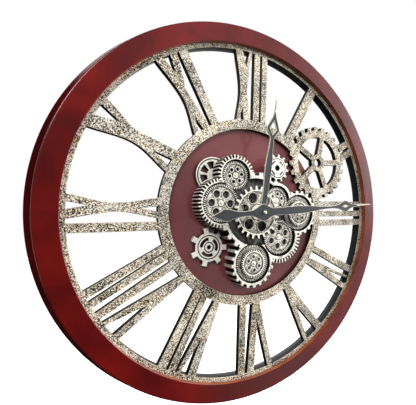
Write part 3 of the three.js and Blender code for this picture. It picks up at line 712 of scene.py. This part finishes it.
# The tub floor's painted shade reaches 7 mm, under the gears and beside the walls.
FLOOR_GREY = slate("slate_floor", (0.016, 0.017, 0.018), (0.15, 0.15, 0.14), 7, 7.0)
HAND = slate("slate_hands", (0.026, 0.030, 0.034), (0.042, 0.047, 0.052), 14)
HAND_EDGE = slate("rubbed_edge", (0.42, 0.38, 0.30), (0.72, 0.68, 0.58), 5)
BRASS = worn_metal("brass", (0.42, 0.30, 0.12), (0.80, 0.64, 0.34))
PIN = worn_metal("pale_pin", (0.50, 0.42, 0.28), (0.88, 0.80, 0.62), 0.6)
STEEL = worn_metal("steel", (0.35, 0.35, 0.36), (0.68, 0.68, 0.70))
BLACK = moulded("black_plastic", (0.012, 0.012, 0.013), (0.024, 0.024, 0.026))
BLACK_PAINT = moulded("black_paint", (0.005, 0.007, 0.008), (0.013, 0.016, 0.018), 1.4, shine=0.2)
PALE = moulded("pale_plastic", (0.60, 0.57, 0.48), (0.74, 0.71, 0.62))
CELL = moulded("cell_wrap", (0.02, 0.06, 0.16), (0.03, 0.09, 0.22), 2.0, 0.2, 0.35)
COPPER = worn_metal("copper_winding", (0.40, 0.14, 0.05), (0.75, 0.36, 0.18))

# ---------------------------------------------------------------- rim, ring, casting and disc

RIM_R = edges_of("frame_ring", 0)[1]
RIM_FRONT = edges_of("frame_ring", 1)[0]
CAST_FRONT, CAST_BACK = edges_of("dial_casting", 1)
CAST_R = edges_of("dial_casting", 0)[1]
RIM_FACE_R = 371.0          # outer edge of the front face; the side slopes out to the wall
RIM_LIP_R = 336.5           # the opening in front of the casting
RABBET_R = CAST_R + 0.5     # the wider opening behind the lip
RIM_SIDE_START = 3.0        # how far behind the front the side's darker copy of the lacquer, its painted shade, starts

rim_profile = rounded([
    (RABBET_R, 0), (RABBET_R, CAST_FRONT - SHADOW_GAP), (RIM_LIP_R, CAST_FRONT - SHADOW_GAP),
    (RIM_LIP_R, RIM_FRONT), (RIM_FACE_R, RIM_FRONT), (RIM_R, 0)], {3: 1.2, 4: 2.6, 5: 1.0})
rim_materials = [WOOD, INNER, SHADED_SIDE]
rim_bm = turned(rim_profile, n=288)
for face in rim_bm.faces:
    centre = face.calc_center_median() / MM
    from_axis = math.hypot(centre.x, centre.z)
    if from_axis < RIM_LIP_R + 0.05:
        face.material_index = rim_materials.index(INNER)
    elif from_axis > RIM_FACE_R and centre.y > RIM_FRONT + RIM_SIDE_START:
        face.material_index = rim_materials.index(SHADED_SIDE)
rim = finished("rim", rim_bm, "clock", rim_materials, ["frame_ring"])

PLATE_LOW, PLATE_HIGH = (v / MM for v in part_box("hanger_plate"))
PLATE_ROOM = 0.4            # round the plate in its pocket
carved(rim, block(PLATE_LOW.x - PLATE_ROOM, PLATE_HIGH.x + PLATE_ROOM, PLATE_LOW.y - SHADOW_GAP, PAST,
                  PLATE_LOW.z - PLATE_ROOM, PLATE_HIGH.z + PLATE_ROOM))
HEAD_ROOM = 7.0             # half width of the hollow for the head of the wall's screw
HEAD_HOLLOW = -11.0         # the y that the hollow reaches
carved(rim, block(-HEAD_ROOM, HEAD_ROOM, HEAD_HOLLOW, PAST, PLATE_LOW.z + 1, PLATE_HIGH.z - 1.6))

RING_R = 329.0              # the opening of the black ring
ring_front, ring_back = edges_of("retaining_ring", 1)
ring_profile = rounded([(RING_R, ring_front), (CAST_R, ring_front), (CAST_R, ring_back),
                        (RING_R, ring_back)], {0: 0.8, 2: 1.2, 3: 1.2})
finished("black_ring", turned(ring_profile, n=240), "clock", [BLACK_PAINT],
         ["retaining_ring"])

casting = piece_from("casting", node_layers("dial_casting"), CAST_BACK, 0.9, "clock", [CAST],
                     ["dial_casting"])
disc_front, disc_back = edges_of("dial_disc", 1)
seat_front = disc_front - SHADOW_GAP
seat_r = edges_of("dial_disc", 0)[1] + SHADOW_GAP
carved(casting, turned([(0, seat_front), (seat_r, seat_front), (seat_r, PAST), (0, PAST)], n=192))
piece_from("disc", node_layers("dial_disc"), disc_back, 0.5, "clock", [BURGUNDY],
           ["dial_disc"])

# ---------------------------------------------------------------- tub and gears

TUB_BACK = edges_of("gear_tub", 1)[1]
piece_from("tub", node_layers("gear_tub"), TUB_BACK, 0.7, "clock", [SILVER],
           ["gear_tub"])
piece_from("tub_floor", node_layers("train_plate"), edges_of("train_plate", 1)[1], 0.3, "clock",
           [FLOOR_GREY], ["train_plate"])
LEDGE_FRONT = -43.5         # the step of the tub that carries the slotted gear
piece_from("tub_ledge", [(loop, LEDGE_FRONT, 0) for loop in flat_loops("gear_tub", LEDGE_FRONT)[:1]],
           TUB_BACK, 0.4, "clock", [WASH], ["gear_tub"])


FACE, GROOVE, HOLE, WEB_FACE = range(4)     # material indices of a gear


def square_teeth(x, z, teeth, tip, root, phase, land, foot):
    """Teeth that reach `land` of the pitch to each side at the tip, and `foot` at the root."""
    out, pitch = [], 360 / teeth
    for i in range(teeth):
        for r, share in ((root, -foot), (tip, -land), (tip, land), (root, foot)):
            a = math.radians(phase + (i + share) * pitch)
            out.append((x + r * math.cos(a), z + r * math.sin(a)))
        for k in (1, 2, 3):
            a = math.radians(phase + (i + foot + (1 - 2 * foot) * k / 4) * pitch)
            out.append((x + root * math.cos(a), z + root * math.sin(a)))
    return out


def comb_teeth(node, x, z, count, depth):
    """Square-tipped teeth where the CAD node has its pointed ones."""
    outline = max((straightened(loop) for loop in flat_loops(node)), key=area_of)
    tip, at = max((math.dist(p, (x, z)), p) for p in outline)
    phase = math.degrees(math.atan2(at[1] - z, at[0] - x))
    return square_teeth(x, z, count, tip - 0.05, tip - depth, phase, land=0.18, foot=0.25)


def groove_at(x, z, r_out, r_in, front, deep=1.4):
    """A round groove between two radii, `deep` below the face at `front`."""
    return [(circle(x, z, r_out, 96), front + deep, GROOVE), (circle(x, z, r_in, 96), front, FACE)]


def gear(node, body, post, web_r=None, collar=1.4, web=0.8, grooves=(), comb=None):
    """A gear whose rim, outside the radius `web_r`, stands `web` higher than the web inside it.

    Each hole in the web has a raised collar, `collar` wide. Each groove is (radius, width, depth).
    `comb` is the number and the depth of the teeth, where they aren't drawn as the CAD node's.
    """
    front, back = edges_of(node, 1)
    x, z = hub_of(post)
    layers = []
    for loop, depth, _ in node_layers(node):
        if comb and depth is not None:
            loop = comb_teeth(node, x, z, *comb)
        layers.append((loop, depth, HOLE if depth is None else FACE))
        if depth is None and web_r:
            hole = middle(loop)
            if math.dist(hole, (x, z)) > 1:     # the hole for the post has no collar
                layers.append((circle(*hole, math.dist(loop[0], hole) + collar, 48), front, FACE))
    if web_r:
        layers.append((circle(x, z, web_r, 96), front + web, WEB_FACE))
    for radius, width, deep in grooves:
        layers += groove_at(x, z, radius + width / 2, radius - width / 2, front, deep)
    return piece_from(node + "_wheel", layers, back, 0.25, body, [TEETH, WASH, INSIDE_PAINTED_LIGHT, WEB],
                      [node], 2)


TOOTH = 3.75                # depth of the train's teeth
for letter, web_r, teeth in (("a", 21.0, 42), ("b", 30.5, 56), ("d", 30.0, 56), ("g", 21.0, 42)):
    gear("gear_" + letter, "gear_" + letter, "post_" + letter, web_r, comb=(teeth, TOOTH),
         grooves=[(web_r + 0.9, 1.0, 1.6), (6.6, 1.2, 1.6)])
for letter in "ef":
    gear("gear_" + letter, "gear_" + letter, "post_" + letter, 30.8, comb=(56, TOOTH),
         grooves=[(31.4, 1.0, 1.6)])
    gear(f"gear_{letter}_front", "gear_" + letter, "post_" + letter, 20.6, comb=(42, 3.8),
         grooves=[(21.5, 1.0, 1.6), (6.2, 1.0, 1.6)])
gear("gear_c", "gear_c", "threaded_bush", web_r=41.0, collar=1.2, web=1.2,
     grooves=[(41.8, 1.4, 2.2), (15.5, 1.2, 2.2)])
gear("idler_pinion", "idler", "post_idler", comb=(11, TOOTH))

TRAIN_FRONT = -48.0         # where the hidden wheels of the train have their front face
for node, body in (("centre_wheel", "gear_c"), ("drive_pinion", "drive")):
    piece_from(node + "_wheel", node_layers(node, TRAIN_FRONT), edges_of(node, 1)[1], 0.3, body,
               [WASH], [node], 2)

# The three fixed gears are drawn whole, then cut where they meet the tub's round lobes: the radius
# of each lobe, by the CAD node in its middle.
LOBES = {"post_a": 40.1, "post_b": 47.9, "threaded_bush": 81.5}
LOBE_FRONT = -60.0          # in front of everything that is cut
ARC_STEPS = 14


def sector(x, z, inner, outer, start, sweep):
    """A curved window between two radii, from `start` through `sweep` degrees."""
    def arc(r, a, b):
        return [(x + r * math.cos(math.radians(a + (b - a) * k / ARC_STEPS)),
                 z + r * math.sin(math.radians(a + (b - a) * k / ARC_STEPS)))
                for k in range(ARC_STEPS + 1)]
    return arc(outer, start, start + sweep) + arc(inner, start + sweep, start)


def fixed_gear(node, layers, edge):
    """A gear that stands on the disc and doesn't turn."""
    back = edges_of(node, 1)[1]
    piece = piece_from(node + "_piece", layers, back, edge, "clock", [CREAM, WASH],
                       [node])
    for wheel, reach in LOBES.items():
        x, z = hub_of(wheel)
        carved(piece, turned([(0, LOBE_FRONT), (reach, LOBE_FRONT), (reach, 0), (0, 0)], x, z, 96))


x, z = -93.0, -66.5
front = edges_of("seven_tooth_gear", 1)[0]
fixed_gear("seven_tooth_gear", [
    (square_teeth(x, z, 7, tip=37, root=28, phase=-3, land=0.16, foot=0.2), front, 0),
    *groove_at(x, z, 22.8, 21.4, front), *groove_at(x, z, 9.6, 8.2, front),
    (circle(x, z, 4), None, 0),
    *[(sector(x, z, 12.6, 18.5, start=93 + 120 * i, sweep=84), None, 0) for i in range(3)]], 0.7)

x, z = -84.0, 71.0
front = edges_of("spoked_wheel", 1)[0]
fixed_gear("spoked_wheel", [
    (circle(x, z, 35.6, 128), front, 0), *groove_at(x, z, 32.6, 31, front),
    *[(sector(x, z, 13.5, 27.0, start=45 * i - 0.5, sweep=31), None, 0) for i in range(8)]], 0.7)

x, z = 49.9, 92.1
front = edges_of("slotted_gear", 1)[0]
slot = [(12.9, -6), (16.1, -5), (16.1, 5), (12.9, 6)]
fixed_gear("slotted_gear", [
    (square_teeth(x, z, 12, tip=28.7, root=22.8, phase=-8, land=0.14, foot=0.2), front, 0),
    *groove_at(x, z, 20.2, 18.9, front), (circle(x, z, 6), None, 0),
    *[(spun(slot, 45 + 90 * i, x, z), None, 0) for i in range(4)]], 0.5)

for post in [n for n in NODES if n.startswith("post_")]:
    r = radius_of(post)
    profile = pin_profile(r, *edges_of(post, 1), FRONT_EDGE, r * 0.55)
    finished(post + "_pin", turned(profile, *hub_of(post), 32), "clock", [PIN], [post])

# ---------------------------------------------------------------- hands

RIM_OF_HAND = 1.0           # width of the rubbed pale edge
LEAST_FACE = 0.5            # share of the half width that the grey face keeps where a hand is narrow
FACE_DEPTH = 0.5            # of the grey face below the pale edge
CENTRE_LINE = 0.5           # points this near to the hand's centre line are left out of the face
HUB_HOLE = 20.0             # a hole nearer to the centre than this is the one for the shaft
GREY, RUBBED = 0, 1         # material indices of a hand


def hand_layers(node, angle, needle):
    """A raised pale edge round a lower grey face, which ends where the needle starts.

    The hand points at `angle` degrees, and the needle starts `needle` mm from the centre.
    """
    front = edges_of(node, 1)[0]
    loops = sorted((layer[0] for layer in node_layers(node)), key=area_of, reverse=True)
    outer, holes = loops[0], loops[1:]
    along = spun(outer, -angle)
    tail = min(u for u, v in along) + RIM_OF_HAND
    upper = sorted(((u, max(v - RIM_OF_HAND, v * LEAST_FACE)) for u, v in along
                    if v > CENTRE_LINE and tail < u < needle), reverse=True)
    lower = [(u, -v) for u, v in reversed(upper)]
    layers = [(outer, front, RUBBED), (spun([*lower, *upper], angle), front + FACE_DEPTH, GREY)]
    for loop in holes:
        if math.hypot(*middle(loop)) < HUB_HOLE:
            layers.append((loop, None, GREY))
        elif node == "hour_hand":           # an open eye with a pale rim
            layers += [(inset(loop, -0.8), front, RUBBED), (loop, None, RUBBED)]
        else:                               # a pale centre in a sunk line
            layers += [(loop, front + 1.1, GREY), (inset(loop, 2.6), front + 0.2, RUBBED)]
    return layers


for node, body, angle, needle in (("hour_hand", "hour", 81.5, 204),
                                  ("minute_hand", "minute", 3.5, 262)):
    piece_from(node + "_blade", hand_layers(node, angle, needle), edges_of(node, 1)[1], 0.5, body,
               [HAND, HAND_EDGE], [node])
nut_profile = pin_profile(radius_of("hand_nut"), *edges_of("hand_nut", 1), FRONT_EDGE, 2.2, 6)
finished("cap_nut", turned(nut_profile, n=48), "minute", [PIN], ["hand_nut"])

# ---------------------------------------------------------------- pieces kept from the frame


def kept(nodes, material, edge=0.0):
    """CAD pieces that stay, with their own material and lightly rounded edges."""
    for name in nodes:
        piece = NODES[name]
        piece.data.materials.clear()
        piece.data.materials.append(material)
        if edge:
            piece.modifiers.new("weld", "WELD").merge_threshold = SAME * MM
            rounding = piece.modifiers.new("edge", "BEVEL")
            rounding.width = edge * MM
            rounding.segments = 2
            rounding.limit_method = "ANGLE"
            rounding.angle_limit = math.radians(40)


kept(["movement_case", "drive_case"], BLACK, 0.5)
kept(["motion_wheel", "power_switch"], PALE, 0.15)
kept(["motion_pinion", "minute_shaft", "drive_shaft", "drive_motor", "hanger_plate"], STEEL, 0.1)
kept(["hour_tube", "threaded_bush", "bush_nut"], BRASS, 0.1)
kept(["movement_coil"], COPPER)
kept(["movement_battery", "drive_battery"], CELL, 0.3)

# ---------------------------------------------------------------- screws and the covers at the back

COVER_PAST = 1.0            # how far a cutter reaches past a screw or a cover


def screw_head(name, x, z, r, front, back, material, slot, nodes=()):
    """A domed head with a cross recess, seen from the wall side."""
    dome = min((back - front) * 0.85, r * 0.5)
    profile = pin_profile(r, front, back, BACK_EDGE, dome)
    head = finished(name, turned(profile, x, z, 24), "clock", [material], list(nodes))
    arm, half, sunk = r * 0.62, r * 0.13, (back - front) * 0.55
    for across, up in ((arm, half), (half, arm)):
        carved(head, block(x - across, x + across, back - sunk, back + COVER_PAST, z - up, z + up))


for node in [n for n in NODES if "_screw_" in n]:
    paint, slot = (STEEL, "steel") if node.startswith("disc") else (BRASS, "brass")
    screw_head(node + "_head", *hub_of(node), radius_of(node), *edges_of(node, 1), paint, slot, [node])


def moulding(node, body, cutters, edge=0.4):
    """A copy of a CAD cover with rounded edges and cut-in detail."""
    bm = bmesh.new()
    bm.from_mesh(NODES[node].data)
    bmesh.ops.remove_doubles(bm, verts=bm.verts, dist=SAME * MM)
    bmesh.ops.dissolve_limit(bm, angle_limit=math.radians(1), verts=bm.verts, edges=bm.edges)
    if edge:
        sharp = [e for e in bm.edges if e.calc_face_angle(0) > math.radians(40)]
        bmesh.ops.bevel(bm, geom=sharp, offset=edge * MM, segments=2, profile=0.5, affect="EDGES")
    piece = finished(node + "_moulding", bm, body, [BLACK], [node])
    for cutter in cutters:
        carved(piece, cutter)


LINE_DEPTH = 0.5            # of the lines cut into the covers, whose outer faces are at y = 0
GRIPS, GRIP_PITCH = 7, 2.4  # of the battery door
LID_SCREW_R = 1.9
LID_SCREW_DEPTH = 1.0       # of the pocket that it sits in
LID_SCREW_ROOM = 0.5        # round it in the pocket
LID_SCREW_INSET = 5.0       # from the lid's edges
KNOB_MARK_R, KNOB_MARK_WIDTH = 8.6, 1.0     # the ring cut round the setting knob


def line_cut(x0, x1, z0, z1, depth=LINE_DEPTH):
    """The cutter of a line or slot in a cover."""
    return block(x0, x1, -depth, COVER_PAST, z0, z1)


def lid_screws(lid, low, high):
    """Puts a small screw near each corner of a lid, and gives the cutters of their pockets."""
    pocket_r = LID_SCREW_R + LID_SCREW_ROOM
    pockets = []
    for z in (low.z + LID_SCREW_INSET, high.z - LID_SCREW_INSET):
        for x in (low.x + LID_SCREW_INSET, high.x - LID_SCREW_INSET):
            pockets.append(turned([(0, -LID_SCREW_DEPTH), (pocket_r, -LID_SCREW_DEPTH),
                                   (pocket_r, COVER_PAST), (0, COVER_PAST)], x, z, 24))
            screw_head(f"{lid}_screw_{len(pockets)}", x, z, LID_SCREW_R, -LID_SCREW_DEPTH + 0.02,
                       -0.1, STEEL, "steel")
    return pockets


door_low, door_high = (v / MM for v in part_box("battery_door"))
door_x = (door_low.x + door_high.x) / 2
first_grip = door_high.z - 9
grips = [line_cut(door_x - 11, door_x + 11, first_grip - GRIP_PITCH * i - 0.6,
                  first_grip - GRIP_PITCH * i + 0.6) for i in range(GRIPS)]
moulding("battery_door", "door",
         [*grips, line_cut(door_x - 18, door_x + 18, door_low.z + 6, door_low.z + 6.8)])

low, high = (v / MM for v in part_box("drive_lid"))
slider_low, slider_high = (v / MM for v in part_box("power_switch"))
slider_z = (slider_low.z + slider_high.z) / 2
moulding("drive_lid", "clock", [
    line_cut(slider_low.x - 3, slider_high.x + 8, slider_z - 4.5, slider_z + 4.5),
    line_cut(low.x + 12, high.x - 12, low.z + 4, low.z + 4.8),
    *lid_screws("drive_lid", low, high)])

low, high = (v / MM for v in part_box("movement_lid"))
knob_x, knob_z = hub_of("setting_knob")
knob_mark = turned([(KNOB_MARK_R, -LINE_DEPTH), (KNOB_MARK_R + KNOB_MARK_WIDTH, -LINE_DEPTH),
                    (KNOB_MARK_R + KNOB_MARK_WIDTH, COVER_PAST), (KNOB_MARK_R, COVER_PAST)],
                   knob_x, knob_z, 64)
moulding("movement_lid", "clock", [knob_mark, *lid_screws("movement_lid", low, high)])
moulding("setting_knob", "motion",
         [line_cut(knob_x - 4, knob_x + 4, knob_z - 0.7, knob_z + 0.7, depth=1.1)], 0)

# ---------------------------------------------------------------- camera, light and floor

# From here on places and sizes are in metres, and the camera's sensor and lens in millimetres.
camera = bpy.data.cameras.new("camera")
camera.sensor_width = 36
camera.lens = 29.45
camera.shift_x = -0.154
camera.shift_y = 0.0181
eye = bpy.data.objects.new("camera", camera)
bpy.context.scene.collection.objects.link(eye)
eye.location = (-0.3608, -0.6316, 0.0047)
YAW, RISE = 0.6007, -0.0001
look = Vector((math.sin(YAW), math.cos(YAW), math.tan(RISE)))
eye.rotation_euler = look.to_track_quat("-Z", "Y").to_euler()
bpy.context.scene.camera = eye


def softbox(name, at, towards, width, height, watts):
    """A rectangular lamp at one point that shines towards another."""
    light = bpy.data.lights.new(name, "AREA")
    light.shape = "RECTANGLE"
    light.size, light.size_y = width, height
    light.energy = watts
    lamp = bpy.data.objects.new(name, light)
    bpy.context.scene.collection.objects.link(lamp)
    lamp.location = at
    lamp.rotation_euler = (Vector(towards) - Vector(at)).to_track_quat("-Z", "Y").to_euler()


softbox("key", (2.2, -0.75, 0.85), (0, 0, 0), 0.8, 1.8, 105)
softbox("front", (-1.2, -1.7, 1.5), (0, 0, 0), 1.1, 1.1, 62)
softbox("edge", (-1.5, 0.3, 0.1), (-0.3, 0, 0), 0.3, 1.7, 7)
softbox("rear", (0.4, 2.0, 1.0), (0, 0, 0), 1.8, 1.4, 40)

# The room is brightest towards a window on the right, and the camera itself sees plain white.
world = bpy.data.worlds.new("studio")
bpy.context.scene.world = world
world.use_nodes = True
sky = world.node_tree
ambient = sky.nodes["Background"]
ambient.inputs["Color"].default_value = (1, 1, 1, 1)
direction = sky.nodes.new("ShaderNodeTexCoord")
towards_window = sky.nodes.new("ShaderNodeVectorMath")
towards_window.operation = "DOT_PRODUCT"
towards_window.inputs[1].default_value = (1.0, 0.0, 0.25)
window = sky.nodes.new("ShaderNodeMapRange")
window.interpolation_type = "SMOOTHSTEP"
for socket, value in zip(window.inputs[1:5], (0.15, 0.45, 0.05, 0.9)):
    socket.default_value = value
backdrop = sky.nodes.new("ShaderNodeBackground")
backdrop.inputs["Color"].default_value = (1, 1, 1, 1)
choice = sky.nodes.new("ShaderNodeMixShader")
path = sky.nodes.new("ShaderNodeLightPath")
for end, start in ((towards_window.inputs[0], direction.outputs["Generated"]),
                   (window.inputs["Value"], towards_window.outputs["Value"]),
                   (ambient.inputs["Strength"], window.outputs["Result"]),
                   (choice.inputs[0], path.outputs["Is Camera Ray"]),
                   (choice.inputs[1], ambient.outputs[0]), (choice.inputs[2], backdrop.outputs[0]),
                   (sky.nodes["World Output"].inputs["Surface"], choice.outputs[0])):
    sky.links.new(start, end)

reach, level = 8.0, -0.95
floor_mesh = bpy.data.meshes.new("floor")
floor_mesh.from_pydata([(-reach, -reach, level), (reach, -reach, level), (reach, reach, level),
                        (-reach, reach, level)], [], [(0, 1, 2, 3)])
floor = bpy.data.objects.new("floor", floor_mesh)
bpy.context.scene.collection.objects.link(floor)
floor_shade = Shade("pale_floor", (0.9, 0.9, 0.9), Roughness=0.9)
floor_shade.shader.inputs["Emission Color"].default_value = (1, 1, 1, 1)
floor_shade.shader.inputs["Emission Strength"].default_value = 0.8
floor_mesh.materials.append(floor_shade.material)
floor.visible_glossy = False
floor.visible_diffuse = False
bpy.context.scene.view_settings.view_transform = "Standard"
